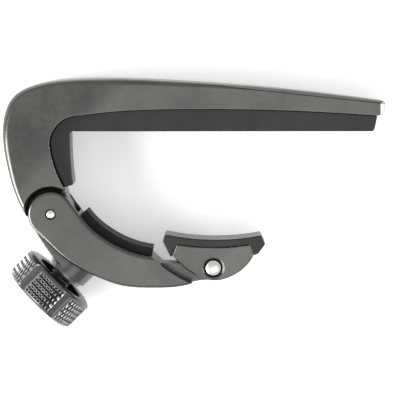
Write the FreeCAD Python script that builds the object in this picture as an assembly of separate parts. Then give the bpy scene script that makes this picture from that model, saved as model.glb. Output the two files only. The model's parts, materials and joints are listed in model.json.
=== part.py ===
import FreeCAD, Part
import math
import os

# Clamp-on guitar capo, in millimetres, lying on its side.
# +X runs from the hinge end to the tip of the string bar, +Y from the neck towards the bar,
# +Z up through the thickness. The origin is the centre of the string pad's flat working face.

# ---- driving dimensions -------------------------------------------------------------------
pad_length = 64.0          # flat working face of the string pad, along X
pad_width = 9.6
pad_depth = 4.7            # rubber between the working face and the bar, at mid length
pad_depth_tip = 3.4        # the same at the tip
pad_leg_wall = 4.4         # rubber down the inside of the heel
pad_edge = 0.5

frame_width = 14.0         # heel and lower arm, across the hinge
bar_tip_width = 10.4
bar_rise = 6.4             # metal above the rubber, at the heel end of the bar
bar_rise_tip = 2.85
bar_overhang = 2.5         # tip of the bar past the end of the rubber
heel_wall = 10.2           # metal of the heel behind the rubber
frame_edge = 1.2           # rounding at the foot of the heel
frame_edge_tip = 0.3       # the same at the tip of the bar
facet_start = 27.0         # bar's top facets, from the heel end of the pad
facet_drop = 0.6           # their height at the tip
facet_depth = 0.75         # how far in from the side they reach there
facet_lead = 0.95          # their start below the bar's top
tip_corner = 0.6
tip_bevel_run = 1.05       # sloped end of each side of the bar: along the bar
tip_bevel_drop = 0.8       # and in from the side
tip_lift = 0.2             # end of the bar above the line of the rubber
bar_taper_start = 2.0      # where the bar starts to narrow, from the heel end of the pad

hinge_back = 4.5           # hinge behind the heel end of the working face
hinge_drop = 17.5          # hinge below the working face
head_radius = 4.85         # round head of each arm cheek
head_turn = 26.0           # where the head's round ends, from +X, in degrees
head_gap = 0.4             # gap between a cheek's head and the frame's hollow
hollow_bevel = 0.8
hub_radius = 4.65          # frame's tongue between the cheeks
hub_gap = 1.2              # from the tongue to the arm's floor
tang_margin = 0.1          # tang wider than the boss, on the hinge side
tang_end_step = 0.5        # tang shorter than the boss, at each end
tang_bow = 0.45

cheek_wall = 1.95
washer_thickness = 0.3
washer_play = 0.05         # on each side of a washer
washer_radius = 2.6
hinge_pin_radius = 0.9
hinge_pin_inset = 0.1      # pin ends below the cheeks' faces
pin_bevel = 0.2
bush_wall = 0.5
running_clearance = 0.04   # radial, shaft in bush

arm_reach = 34.55          # hinge to toggle pin, along X
arm_drop = 11.7            # the same, along Y
arm_edge = 0.7
eye_radius = 2.8
tongue_width = 6.0
tongue_top = 0.95          # top of the tongue above the toggle pin
pocket_end = 6.6           # arm's pocket past the screw's axis
strip_width = 8.6
strip_rise = 1.75          # rubber strip proud of the arm's inner edge
strip_sunk = 0.8

toggle_width = 9.8
toggle_half = 8.6          # pin to the saddle's end corners
toggle_corner_rise = 2.7
toggle_crest = 4.45        # pin to the saddle's top, at mid length
toggle_dish = 0.6          # ends of the top above its middle
toggle_plate = 1.2
toggle_belly = 2.65        # pin to the saddle's lowest edge
toggle_pin_radius = 1.6
toggle_pin_dome = 0.35
toggle_sink_radius = 1.95  # recess round the pin's domed end
toggle_sink = 0.5
toggle_washer = 0.2
toggle_edge = 0.25
cap_rise = 1.65            # rubber over the middle of the saddle
cap_dish = 1.15
cap_lip = 2.2              # rubber past the saddle's ends

screw_offset = 11.28       # hinge to the screw's axis
screw_slant = 45.0         # the screw's axis from +X, in degrees
thread_radius = 2.5        # M5 x 0.8
boss_side_gap = 0.3        # boss to each cheek
boss_outer = 6.8           # boss ends, behind the hinge's projection on the screw's axis
boss_inner = 2.6
insert_radius = 3.3
insert_flange_radius = 4.1
insert_flange = 0.85
seat_ahead = 1.2           # the arm's seat for the foot, ahead of that projection
foot_radius = 2.3
foot_length = 1.6
foot_dome = 0.75           # rise of the foot's domed end
foot_gap = 0.1
pivot_radius = 1.1
pivot_length = 0.9
clip_radius = 1.8
clip_thickness = 0.3

knob_radius = 8.85
knob_inner = 8.95          # knob faces, behind the hinge's projection
knob_length = 6.8
knob_recess_radius = 5.75
knob_recess_depth = 3.4
knob_groove_count = 6
knob_groove_width = 2.3
knob_groove_depth = 0.6
knob_groove_turn = 34.5    # first groove, from +Z
knob_rim = 0.7
knob_core_radius = 2.0     # stud's root in the knob
socket_radius = 2.9        # recess in the knob's end for the screw and its washer
socket_depth = 1.0
knob_washer_radius = 2.7
knob_washer_thickness = 0.35
knob_screw_head_radius = 2.0
knob_screw_head = 0.9
knob_screw_radius = 1.0
knob_screw_length = 3.2
slot_width = 0.5
slot_depth = 0.4

spring_wire_radius = 0.2
spring_gap = 0.13          # bush to coil
spring_skin = 0.03         # coil's sleeve past its own wire, on every side
spring_turns = 4
spring_slot = 3.2
spring_slot_radius = 3.3

# ---- derived places -----------------------------------------------------------------------
pad_left = -pad_length / 2
pad_right = pad_length / 2
hinge = FreeCAD.Vector(pad_left - hinge_back, -hinge_drop, 0)
toggle_axis = hinge + FreeCAD.Vector(arm_reach, -arm_drop, 0)
half = frame_width / 2
channel_width = frame_width - 2 * cheek_wall
boss_radius = channel_width / 2 - boss_side_gap
tang_width = channel_width - 2 * (washer_thickness + 2 * washer_play)
screw_dir = FreeCAD.Vector(math.cos(math.radians(screw_slant)), math.sin(math.radians(screw_slant)), 0)
cross_dir = FreeCAD.Vector(-screw_dir.y, screw_dir.x, 0)
up = FreeCAD.Vector(0, 0, 1)
seam_face = pad_left - pad_leg_wall
heel_back = seam_face - heel_wall
hinge_bush_radius = hinge_pin_radius + running_clearance + bush_wall
spring_coil_radius = hinge_bush_radius + spring_gap + spring_skin + spring_wire_radius
toggle_bush_radius = toggle_pin_radius + running_clearance + bush_wall
toggle_slot = tongue_width + 2 * (toggle_washer + 2 * washer_play)
foot_tip = seat_ahead - foot_gap
foot_back = foot_tip - foot_length
knob_face = -knob_inner
knob_end = knob_face - knob_length
recess_floor = knob_face - knob_recess_depth
socket_floor = knob_end + socket_depth


def at(x, y):
    """A point of the side profile."""
    return FreeCAD.Vector(x, y, 0)


def from_hinge(x, y):
    return hinge + FreeCAD.Vector(x, y, 0)


def from_toggle(x, y):
    return toggle_axis + FreeCAD.Vector(x, y, 0)


def on_screw(along, across=0.0):
    """A point of the side profile: along the screw's axis, and across it towards the hinge."""
    return hinge + screw_dir * along + cross_dir * (across - screw_offset)


def polar(centre, radius, degrees):
    turn = math.radians(degrees)
    return centre + FreeCAD.Vector(radius * math.cos(turn), radius * math.sin(turn), 0)


def line(start, end):
    return Part.LineSegment(start, end).toShape()


def arc(start, middle, end):
    return Part.Arc(start, middle, end).toShape()


def curve(points):
    """A smooth curve through a few points."""
    path = Part.BSplineCurve()
    path.interpolate(points)
    return path.toShape()


def outline(corners):
    """Straight sides round a list of corners."""
    return [line(a, b) for a, b in zip(corners, corners[1:] + corners[:1])]


def plate(edges, width):
    """The outline made a solid, centred on the mid plane."""
    face = Part.Face(Part.Wire(edges))
    face.translate(up * (-width / 2))
    return face.extrude(up * width)


def block(x0, x1, y0, y1, width):
    return Part.makeBox(x1 - x0, y1 - y0, width, FreeCAD.Vector(x0, y0, -width / 2))


def rod(centre, radius, low, high):
    """A cylinder along Z."""
    return Part.makeCylinder(radius, high - low, centre + up * low, up)


def tube(centre, outer, inner, low, high):
    return rod(centre, outer, low, high).cut(rod(centre, inner, low - 1, high + 1))


def along_screw(start, end, radius):
    """A cylinder on the screw's axis, between two places on it."""
    return Part.makeCylinder(radius, end - start, on_screw(start), screw_dir)


def screw_profile(points):
    """A turned shape on the screw's axis, from (along, radius) points."""
    corners = [on_screw(along, radius) for along, radius in points]
    return Part.Face(Part.Wire(outline(corners))).revolve(on_screw(0), screw_dir, 360)


def face_edges(shape, width, keep=lambda point: True):
    """The edges of a plate's two flat sides whose middle passes the test."""
    found = []
    for edge in shape.Edges:
        box = edge.BoundBox
        middle = edge.valueAt((edge.FirstParameter + edge.LastParameter) / 2)
        if abs(abs(middle.z) - width / 2) < 1e-4 and box.ZLength < 1e-4 and keep(middle):
            found.append(edge)
    return found


# ---- frame: bar, heel, tongue, tang and screw boss -------------------------------------------
def seam_points():
    """Where rubber meets metal, from the tip of the bar to the foot of the heel."""
    inner = seam_face
    under_bar = [
        at(pad_right + 0.9, pad_depth_tip),
        at(pad_right * 0.4, pad_depth - 0.15),
        at(pad_right * -0.3, pad_depth + 0.12),
        at(pad_left + 12.5, pad_depth - 0.15),
        at(pad_left + 2.1, pad_depth - 1.2),
    ]
    corner = at(inner + 0.75, 0.7)
    down_heel = [
        at(inner - 0.35, -2.6),
        at(inner + 0.6, -hinge_drop + 10.4),
        from_hinge(2.85, 5.6),
    ]
    return under_bar, corner, down_heel


def seam_edges():
    under_bar, corner, down_heel = seam_points()
    return [curve(under_bar), arc(under_bar[-1], corner, down_heel[0]), curve(down_heel)]


def bar_plan():
    """The frame seen from above: full width at the heel, tapered to the tip."""
    tip = pad_right + bar_overhang + 2
    tip_half = bar_tip_width / 2
    corners = [
        FreeCAD.Vector(heel_back - 2, -20, -half),
        FreeCAD.Vector(pad_left + bar_taper_start, -20, -half),
        FreeCAD.Vector(tip, -20, -tip_half),
        FreeCAD.Vector(tip, -20, tip_half),
        FreeCAD.Vector(pad_left + bar_taper_start, -20, half),
        FreeCAD.Vector(heel_back - 2, -20, half),
    ]
    return outline(corners)


def side_plate():
    """Bar and heel at full width, still without the hollow for the arm."""
    rise = pad_depth + bar_rise
    tip_low = pad_depth_tip
    tip_high = pad_depth_tip + bar_rise_tip + tip_lift
    tip = pad_right + bar_overhang
    under_bar, corner, down_heel = seam_points()
    tip_top = at(tip - tip_corner, tip_high)
    tip_side = at(tip, tip_high - tip_corner)
    tip_foot = at(tip - tip_corner / 3, tip_low + tip_lift)
    top = [
        tip_top,
        at(pad_right * 0.4, rise - 2.15),
        at(pad_right * -0.3, rise - 0.45),
        at(pad_left + 3.0, rise + 0.05),
        at(heel_back + 8.3, rise - 0.85),
        at(heel_back + 2.3, rise - 3.7),
    ]
    back = [
        top[-1],
        at(heel_back + 0.05, 1.2),
        at(heel_back + 0.75, -hinge_drop + 10.9),
        from_hinge(-6.6, 2.0),
        from_hinge(-5.1, -0.7),
    ]
    edges = [
        curve(top + back[1:]),
        line(back[-1], hinge),
        line(hinge, down_heel[-1]),
        curve(list(reversed(down_heel))),
        arc(down_heel[0], corner, under_bar[-1]),
        curve(list(reversed(under_bar))),
        line(under_bar[0], tip_foot),
        line(tip_foot, tip_side),
        arc(tip_side, at(tip - 0.3 * tip_corner, tip_high - 0.3 * tip_corner), tip_top),
    ]
    return plate(edges, frame_width)


def hollow():
    """The rounded recess, one on each side, that the arm's cheeks turn in."""
    radius = head_radius + head_gap
    floor = tang_width / 2
    corners = [
        FreeCAD.Vector(0, 0, floor),
        FreeCAD.Vector(radius, 0, floor),
        FreeCAD.Vector(radius, 0, half - hollow_bevel),
        FreeCAD.Vector(radius + hollow_bevel + 0.5, 0, half + 0.5),
        FreeCAD.Vector(0, 0, half + 0.5),
    ]
    section = Part.Face(Part.Wire(outline([corner + hinge for corner in corners])))
    upper = section.revolve(hinge, up, 360)
    return upper.fuse(upper.mirror(hinge, up))


def tang():
    """The narrow part between the cheeks: hinge tongue, and the arm that carries the boss."""
    under_bar, corner, down_heel = seam_points()
    heel_in = from_hinge(-3.0, 7.0)
    outer_top = from_hinge(-5.6, 1.0)
    outer_end = on_screw(-boss_outer + tang_end_step, boss_radius + tang_margin)
    outer_mid = (outer_top + outer_end) * 0.5 - screw_dir * tang_bow
    hub_start = polar(hinge, hub_radius, 38)
    hub_end = polar(hinge, hub_radius, -62)
    edges = [
        line(heel_in, outer_top),
        arc(outer_top, outer_mid, outer_end),
        line(outer_end, on_screw(-boss_outer + tang_end_step)),
        line(on_screw(-boss_outer + tang_end_step), on_screw(-boss_inner - tang_end_step)),
        line(on_screw(-boss_inner - tang_end_step), hub_end),
        arc(hub_end, polar(hinge, hub_radius, -20), hub_start),
        line(hub_start, down_heel[-1]),
        line(down_heel[-1], heel_in),
    ]
    return plate(edges, tang_width)


def make_frame():
    plan = Part.Face(Part.Wire(bar_plan())).extrude(FreeCAD.Vector(0, 60, 0))
    body = side_plate().common(plan)
    body = body.makeFillet(frame_edge_tip, frame_edge, frame_outer_edges(body))
    body = body.cut([bar_facet(1), bar_facet(-1), tip_bevel(1), tip_bevel(-1)])
    body = body.cut(hollow())
    boss = along_screw(-boss_outer, -boss_inner, boss_radius)
    body = body.fuse([tang(), boss]).removeSplitter()
    body = body.cut(along_screw(-boss_outer - 1, -boss_inner + 1, insert_radius))
    body = body.cut(rod(hinge, hinge_bush_radius, -half, half))
    body = body.cut(rod(hinge, spring_slot_radius, -spring_slot / 2, spring_slot / 2))
    return body.cut(spring_window())


def side_reach(x):
    """Half width of the bar at a place along it."""
    taper_start = pad_left + bar_taper_start
    taper_end = pad_right + bar_overhang
    share = (x - taper_start) / (taper_end - taper_start)
    return half + (bar_tip_width / 2 - half) * share


def bar_facet(side):
    """The wedge taken off the bar's top edge, growing towards the tip."""
    tip = pad_right + bar_overhang
    top = pad_depth_tip + bar_rise_tip + tip_lift
    root = FreeCAD.Vector(pad_left + facet_start, pad_depth + bar_rise - facet_lead, 0)
    end = FreeCAD.Vector(tip, top - facet_drop, 0)
    root.z = side * side_reach(root.x)
    end.z = side * side_reach(end.x)
    along = (end - root).normalize()
    rise = FreeCAD.Vector(0, facet_drop, -side * facet_depth)
    outwards = along.cross(rise).normalize() * side
    across = outwards.cross(along).normalize() * side
    corners = [
        root - along * 4 - across,
        end + along * 4 - across,
        end + along * 4 + across * 3,
        root - along * 4 + across * 3,
    ]
    return Part.Face(Part.Wire(outline(corners))).extrude(outwards * 3)


def tip_bevel(side):
    """The wedge taken off one side of the bar's end."""
    tip = pad_right + bar_overhang
    start = tip - tip_bevel_run
    high = side_reach(start)
    past = 2.0
    low = high - tip_bevel_drop * (tip_bevel_run + past) / tip_bevel_run
    corners = [
        FreeCAD.Vector(start, 0, side * high),
        FreeCAD.Vector(tip + past, 0, side * low),
        FreeCAD.Vector(tip + past, 0, side * (high + past)),
        FreeCAD.Vector(start, 0, side * (high + past)),
    ]
    return Part.Face(Part.Wire(outline(corners))).extrude(FreeCAD.Vector(0, 30, 0))


def spring_window():
    """The opening in the tongue that the spring's free leg comes out of."""
    low = -spring_coil_radius - 2 * spring_wire_radius
    high = seat_ahead
    reach = screw_offset - hub_radius - hub_gap
    corners = [
        on_screw(low, screw_offset),
        on_screw(high, screw_offset),
        on_screw(high, reach),
        on_screw(low, reach),
    ]
    return plate(outline(corners), spring_slot)


def frame_outer_edges(body):
    """The long edges round the outside of the bar and the heel."""
    found = []
    for edge in body.Edges:
        box = edge.BoundBox
        long_enough = box.DiagonalLength > 20
        high = box.ZMin > 1 or box.ZMax < -1
        outside = box.YMax > pad_depth + 1.5
        if long_enough and high and outside:
            found.append(edge)
    return found


# ---- string pad -------------------------------------------------------------------------------
def make_string_pad():
    """The L-shaped rubber: flat under the bar, and down the inside of the heel."""
    under_bar, corner, down_heel = seam_points()
    foot = from_hinge(4.75, 6.15)
    leg_middle = at(pad_left - 0.3, -hinge_drop * 0.3)
    leg_top = at(pad_left - 0.4, -2 * pad_edge)
    face_start = at(pad_left + pad_edge, 0)
    face_end = at(pad_right - pad_edge, 0)
    tip = at(pad_right + 0.3, pad_edge)
    edges = seam_edges() + [
        line(down_heel[-1], foot),
        curve([foot, leg_middle, leg_top]),
        arc(leg_top, at(pad_left - 0.2, -0.3 * pad_edge), face_start),
        line(face_start, face_end),
        arc(face_end, at(pad_right + 0.05, 0.3 * pad_edge), tip),
        line(tip, under_bar[0]),
    ]
    return plate(edges, pad_width)


# ---- lower arm and its rubber strip --------------------------------------------------------------
def on_arm(reach_share, drop_share):
    """A point between the hinge and the toggle pin, by its share of each distance."""
    return from_hinge(arm_reach * reach_share, -arm_drop * drop_share)


def arm_inner_points():
    """The arm's inner edge, from the hinge to its end."""
    return [
        from_hinge(6.35, -0.45),
        on_arm(0.225, 0.19),
        on_arm(0.34, 0.47),
        on_arm(0.5, 0.70),
        on_arm(0.62, 0.778),
    ]


def cheek_edges():
    """Outline of the arm's full width: round head, bowed sides and slanting end."""
    head_start = polar(hinge, head_radius, head_turn)
    head_end = polar(hinge, head_radius, 231)
    outer = [
        head_end,
        from_hinge(-0.8, -5.95),
        from_hinge(3.2, -9.65),
        on_arm(0.26, 1.115),
        on_arm(0.44, 1.305),
        from_toggle(-12.65, -4.05),
        from_toggle(-6.9, -3.7),
        from_toggle(-4.55, -3.15),
    ]
    inner = arm_inner_points()
    end = inner[-1]
    return [
        arc(head_start, polar(hinge, head_radius, 120), head_end),
        curve(outer),
        arc(outer[-1], from_toggle(-9.3, -0.6), end),
        curve(list(reversed(inner)) + [head_start]),
    ]


def tongue_edges():
    """Outline of the narrow end that carries the toggle."""
    rise = tongue_top
    eye_meet = -math.sqrt(eye_radius ** 2 - rise ** 2)
    eye_foot = polar(toggle_axis, eye_radius, 262)
    return [
        line(from_toggle(-16.0, rise), from_toggle(eye_meet, rise)),
        arc(from_toggle(eye_meet, rise), polar(toggle_axis, eye_radius, 20), eye_foot),
        curve([eye_foot, from_toggle(-3.6, -2.95), from_toggle(-6.9, -3.7), from_toggle(-12.65, -4.05)]),
        line(from_toggle(-12.65, -4.05), from_toggle(-16.0, rise)),
    ]


def arm_pocket():
    """The space between the cheeks for the tongue, the tang and the boss."""
    corners = [
        on_screw(seat_ahead, screw_offset - 2),
        on_screw(seat_ahead, -pocket_end),
        on_screw(seat_ahead - 16, -pocket_end),
        on_screw(seat_ahead - 16, screw_offset - 2),
    ]
    behind = plate(outline(corners), channel_width)
    return behind.fuse(hub_room())


def hub_room():
    return rod(hinge, hub_radius + hub_gap, -channel_width / 2, channel_width / 2)


def shifted(points, distance):
    """The points moved sideways from their own line, to the left of its direction."""
    moved = []
    for index, point in enumerate(points):
        before = points[max(index - 1, 0)]
        after = points[min(index + 1, len(points) - 1)]
        along = (after - before).normalize()
        moved.append(point + FreeCAD.Vector(-along.y, along.x, 0) * distance)
    return moved


def strip_plate(rise, sunk, width):
    """A band along the arm's inner edge, standing proud of it and let into it."""
    top = shifted(arm_inner_points(), rise)
    root = shifted(arm_inner_points(), -sunk)
    edges = [
        curve(top),
        line(top[-1], root[-1]),
        curve(list(reversed(root))),
        line(root[0], top[0]),
    ]
    return plate(edges, width)


def make_lower_arm():
    body = plate(cheek_edges(), frame_width)
    end = arm_inner_points()[-1]
    slant_middle = from_toggle(-9.3, -0.6)
    bowed = face_edges(body, frame_width, lambda p: p.distanceToPoint(slant_middle) > half + 1.2)
    body = body.makeFillet(arm_edge, bowed)
    body = body.fuse(plate(tongue_edges(), tongue_width)).removeSplitter()
    body = body.cut(arm_pocket())
    body = body.cut(strip_plate(strip_rise, strip_sunk, strip_width))
    body = body.cut(pin_hole(hinge, hinge_pin_radius, pin_bevel, frame_width))
    body = body.cut(rod(toggle_axis, toggle_bush_radius, -half, half))
    return body


def pin_hole(centre, radius, bevel, width):
    """A through hole with both mouths bevelled."""
    side = width / 2
    corners = [
        FreeCAD.Vector(0, 0, -side),
        FreeCAD.Vector(radius + bevel, 0, -side),
        FreeCAD.Vector(radius, 0, -side + bevel),
        FreeCAD.Vector(radius, 0, side - bevel),
        FreeCAD.Vector(radius + bevel, 0, side),
        FreeCAD.Vector(0, 0, side),
    ]
    section = Part.Face(Part.Wire(outline([corner + centre for corner in corners])))
    return section.revolve(centre, up, 360)


def make_arm_pad():
    return strip_plate(strip_rise, strip_sunk, strip_width).cut(hub_room())


# ---- hinge set ---------------------------------------------------------------------------------------
def dome_drop(radius, rise, reach):
    """How far a spherical dome of this radius and rise lies below its top, at a reach."""
    ball = (radius ** 2 + rise ** 2) / (2 * rise)
    return ball - math.sqrt(ball ** 2 - reach ** 2)


def domed_pin(centre, radius, length, dome):
    """A pin along Z with slightly domed ends."""
    ball = (radius ** 2 + dome ** 2) / (2 * dome)
    pin = rod(centre, radius, -length / 2, length / 2)
    for side in (1, -1):
        middle = centre + up * side * (length / 2 - ball)
        keep = Part.makeSphere(ball, middle, up).fuse(
            Part.makeCylinder(radius + 1, length, centre + up * side * (length / 2 - dome), up * -side)
        )
        pin = pin.common(keep)
    return pin.removeSplitter()


def make_hinge_pin():
    return domed_pin(hinge, hinge_pin_radius, frame_width - 2 * hinge_pin_inset, pin_bevel)


def make_hinge_bush():
    return tube(hinge, hinge_bush_radius, hinge_pin_radius + running_clearance, -tang_width / 2, tang_width / 2)


def washer(centre, pin_radius, outer, inner_face, thickness, side):
    """A washer beside a tongue, on the front (side 1) or rear (side -1)."""
    near = inner_face + washer_play
    far = near + thickness
    low, high = sorted((side * near, side * far))
    return tube(centre, outer, pin_radius + running_clearance, low, high)


def make_hinge_washer(side):
    return washer(hinge, hinge_pin_radius, washer_radius, tang_width / 2, washer_thickness, side)


def make_return_spring():
    """Torsion spring round the bush: a close coil, one leg on the frame, one on the arm's floor."""
    inner = spring_coil_radius - spring_wire_radius - spring_skin
    outer = spring_coil_radius + spring_wire_radius + spring_skin
    coil_half = spring_turns * spring_wire_radius + spring_skin
    coil = tube(hinge, outer, inner, -coil_half, coil_half)
    contact = on_screw(seat_ahead - spring_wire_radius - washer_play, screw_offset - hub_radius - 1)
    towards = contact - hinge
    spread = math.degrees(math.acos(spring_coil_radius / towards.Length))
    leg_turn = math.degrees(math.atan2(towards.y, towards.x)) - spread
    start = polar(hinge, spring_coil_radius, leg_turn)
    reach = contact - start
    low = up * (spring_wire_radius + spring_skin - coil_half)
    free_leg = Part.makeCylinder(spring_wire_radius, reach.Length, start + low, reach)
    fixed_length = math.sqrt((spring_slot_radius - washer_play) ** 2 - outer ** 2)
    fixed_leg = Part.makeCylinder(spring_wire_radius, fixed_length, start - low, reach * -1)
    return coil.fuse([free_leg, fixed_leg]).removeSplitter()


# ---- toggle set ----------------------------------------------------------------------------------------
def saddle_top():
    """Left end, middle and right end of the saddle's hollow top."""
    rise = toggle_crest + toggle_dish
    return from_toggle(-toggle_half + 0.75, rise), from_toggle(0, toggle_crest), from_toggle(toggle_half - 0.9, rise)


def make_toggle():
    left, middle, right = saddle_top()
    left_corner = from_toggle(-toggle_half - 0.1, toggle_corner_rise)
    right_corner = from_toggle(toggle_half - 0.05, toggle_corner_rise)
    belly = [
        left_corner,
        from_toggle(-toggle_half * 0.7, 0.1),
        from_toggle(-toggle_half * 0.34, -toggle_belly * 0.7),
        from_toggle(0.2, -toggle_belly),
        from_toggle(toggle_half * 0.48, -toggle_belly * 0.62),
        from_toggle(toggle_half * 0.86, toggle_corner_rise * 0.33),
        right_corner,
    ]
    edges = [
        arc(left, middle, right),
        line(right, right_corner),
        curve(list(reversed(belly))),
        line(left_corner, left),
    ]
    body = plate(edges, toggle_width)
    body = body.makeFillet(toggle_edge, face_edges(body, toggle_width))
    room = toggle_crest - toggle_plate
    left_room = block(
        toggle_axis.x - toggle_half - 4, toggle_axis.x,
        toggle_axis.y - toggle_belly - 2, toggle_axis.y + room, toggle_slot,
    )
    eye_room = rod(toggle_axis, eye_radius + hub_gap, -toggle_slot / 2, toggle_slot / 2)
    below_eye = block(
        toggle_axis.x, toggle_axis.x + eye_radius + hub_gap,
        toggle_axis.y - toggle_belly - 2, toggle_axis.y, toggle_slot,
    )
    body = body.cut(left_room.fuse([eye_room, below_eye]))
    body = body.cut(rod(toggle_axis, toggle_pin_radius, -half, half))
    for side in (1, -1):
        mouth = Part.makeCone(
            toggle_sink_radius - 0.1, toggle_sink_radius + toggle_sink, toggle_sink + 0.1,
            toggle_axis + up * side * (toggle_width / 2 - toggle_sink), up * side,
        )
        body = body.cut(mouth)
    return body


def make_toggle_pad():
    """The rubber cap, which laps over both ends of the saddle."""
    left, middle, right = saddle_top()
    crown = toggle_crest + cap_rise
    half_cap = toggle_half + cap_lip - 0.6
    left_corner = from_toggle(-toggle_half - 0.1, toggle_corner_rise)
    right_corner = from_toggle(toggle_half - 0.05, toggle_corner_rise)
    top_left = from_toggle(-half_cap, crown + cap_dish)
    top_right = from_toggle(half_cap, crown + cap_dish - 0.2)
    right_tip = from_toggle(toggle_half + cap_lip + 0.3, crown - 0.9)
    left_tip = from_toggle(-toggle_half - cap_lip, crown - 0.4)
    right_ear = from_toggle(toggle_half + 1.0, toggle_corner_rise + 0.4)
    left_ear = from_toggle(-toggle_half - 0.5, toggle_corner_rise - 0.35)
    edges = [
        arc(top_left, from_toggle(0, crown), top_right),
        line(top_right, right_tip),
        line(right_tip, right_ear),
        line(right_ear, right_corner),
        line(right_corner, right),
        arc(right, middle, left),
        line(left, left_corner),
        line(left_corner, left_ear),
        line(left_ear, left_tip),
        line(left_tip, top_left),
    ]
    return plate(edges, toggle_width)


def make_toggle_pin():
    return domed_pin(toggle_axis, toggle_pin_radius, toggle_width, toggle_pin_dome)


def make_toggle_bush():
    bore = toggle_pin_radius + running_clearance
    return tube(toggle_axis, toggle_bush_radius, bore, -tongue_width / 2, tongue_width / 2)


def make_toggle_washer(side):
    return washer(toggle_axis, toggle_pin_radius, eye_radius, tongue_width / 2, toggle_washer, side)


# ---- screw set -----------------------------------------------------------------------------------------
def make_thread_insert():
    bore = thread_radius + running_clearance
    flange_end = -boss_outer - insert_flange
    return screw_profile([
        (flange_end, bore),
        (flange_end, insert_flange_radius),
        (-boss_outer, insert_flange_radius),
        (-boss_outer, insert_radius),
        (-boss_inner, insert_radius),
        (-boss_inner, bore),
    ])


def make_adjusting_stud():
    """Threaded stud: its root in the knob, its pivot in the foot."""
    tap_end = socket_floor + knob_screw_length
    back = foot_back - washer_play
    neck = back + 2 * washer_play + clip_thickness
    pivot_end = back + washer_play + pivot_length
    return screw_profile([
        (socket_floor, knob_screw_radius),
        (socket_floor, knob_core_radius),
        (recess_floor, knob_core_radius),
        (recess_floor, thread_radius),
        (back - 0.4, thread_radius),
        (back, thread_radius - 0.4),
        (back, pivot_radius),
        (neck, pivot_radius),
        (pivot_end, pivot_radius),
        (pivot_end, 0),
        (tap_end, 0),
        (tap_end, knob_screw_radius),
    ])


def make_pressure_foot():
    """Domed shoe that swivels on the stud's pivot and presses the arm."""
    bore = pivot_radius + running_clearance
    clip_seat = foot_back + clip_thickness
    depth = foot_back + pivot_length + 2 * washer_play
    rim = foot_tip - foot_dome
    middle = on_screw(foot_tip - dome_drop(foot_radius, foot_dome, foot_radius / 2), foot_radius / 2)
    edges = [
        line(on_screw(foot_back, clip_radius), on_screw(foot_back, foot_radius)),
        line(on_screw(foot_back, foot_radius), on_screw(rim, foot_radius)),
        arc(on_screw(rim, foot_radius), middle, on_screw(foot_tip)),
        line(on_screw(foot_tip), on_screw(depth)),
        line(on_screw(depth), on_screw(depth, bore)),
        line(on_screw(depth, bore), on_screw(clip_seat, bore)),
        line(on_screw(clip_seat, bore), on_screw(clip_seat, clip_radius)),
        line(on_screw(clip_seat, clip_radius), on_screw(foot_back, clip_radius)),
    ]
    return Part.Face(Part.Wire(edges)).revolve(on_screw(0), screw_dir, 360)


def make_foot_clip():
    """Flat ring in the foot's mouth that keeps the foot on the stud."""
    ring = along_screw(foot_back, foot_back + clip_thickness, clip_radius)
    return ring.cut(along_screw(foot_back - 1, foot_back + 1, pivot_radius + running_clearance))


def knob_groove(degrees):
    """A flat-bottomed groove along the knob's side."""
    bottom = knob_radius - knob_groove_depth
    groove = Part.makeBox(
        knob_length + 2, knob_groove_width, 2 * knob_groove_depth + 1,
        FreeCAD.Vector(-1, -knob_groove_width / 2, bottom),
    )
    groove.rotate(FreeCAD.Vector(0, 0, 0), FreeCAD.Vector(1, 0, 0), -degrees)
    groove.rotate(FreeCAD.Vector(0, 0, 0), up, screw_slant)
    groove.translate(on_screw(knob_end))
    return groove


def make_knob():
    body = screw_profile([
        (knob_end, knob_core_radius),
        (knob_end, knob_radius - knob_rim),
        (knob_end + knob_rim, knob_radius),
        (knob_face - knob_rim, knob_radius),
        (knob_face, knob_radius - knob_rim),
        (knob_face, knob_recess_radius),
        (recess_floor, knob_recess_radius),
        (recess_floor, knob_core_radius),
    ])
    for index in range(knob_groove_count):
        body = body.cut(knob_groove(knob_groove_turn + index * 360 / knob_groove_count))
    return body.cut(along_screw(knob_end - 1, socket_floor, socket_radius))


def make_knob_washer():
    start = socket_floor - knob_washer_thickness
    ring = along_screw(start, socket_floor, knob_washer_radius)
    return ring.cut(along_screw(start - 1, socket_floor + 1, knob_screw_radius))


def make_knob_screw():
    """Slotted cheese-head screw that holds the knob on the stud."""
    seat = socket_floor - knob_washer_thickness
    top = seat - knob_screw_head
    end = socket_floor + knob_screw_length - 0.4
    body = screw_profile([
        (top, 0),
        (top, knob_screw_head_radius),
        (seat, knob_screw_head_radius),
        (seat, knob_screw_radius),
        (end, knob_screw_radius),
        (end, 0),
    ])
    slot = Part.makeBox(
        slot_depth + 1, slot_width, 3 * knob_screw_head_radius,
        FreeCAD.Vector(-1, -slot_width / 2, -1.5 * knob_screw_head_radius),
    )
    slot.rotate(FreeCAD.Vector(0, 0, 0), up, screw_slant)
    slot.translate(on_screw(top))
    return body.cut(slot)


make_parts = {
    "frame": make_frame,
    "string_pad": make_string_pad,
    "lower_arm": make_lower_arm,
    "arm_pad": make_arm_pad,
    "hinge_pin": make_hinge_pin,
    "hinge_bush": make_hinge_bush,
    "hinge_washer_front": lambda: make_hinge_washer(1),
    "hinge_washer_rear": lambda: make_hinge_washer(-1),
    "return_spring": make_return_spring,
    "toggle": make_toggle,
    "toggle_pad": make_toggle_pad,
    "toggle_pin": make_toggle_pin,
    "toggle_bush": make_toggle_bush,
    "toggle_washer_front": lambda: make_toggle_washer(1),
    "toggle_washer_rear": lambda: make_toggle_washer(-1),
    "thread_insert": make_thread_insert,
    "adjusting_stud": make_adjusting_stud,
    "pressure_foot": make_pressure_foot,
    "foot_clip": make_foot_clip,
    "knob": make_knob,
    "knob_washer": make_knob_washer,
    "knob_screw": make_knob_screw,
}


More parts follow.
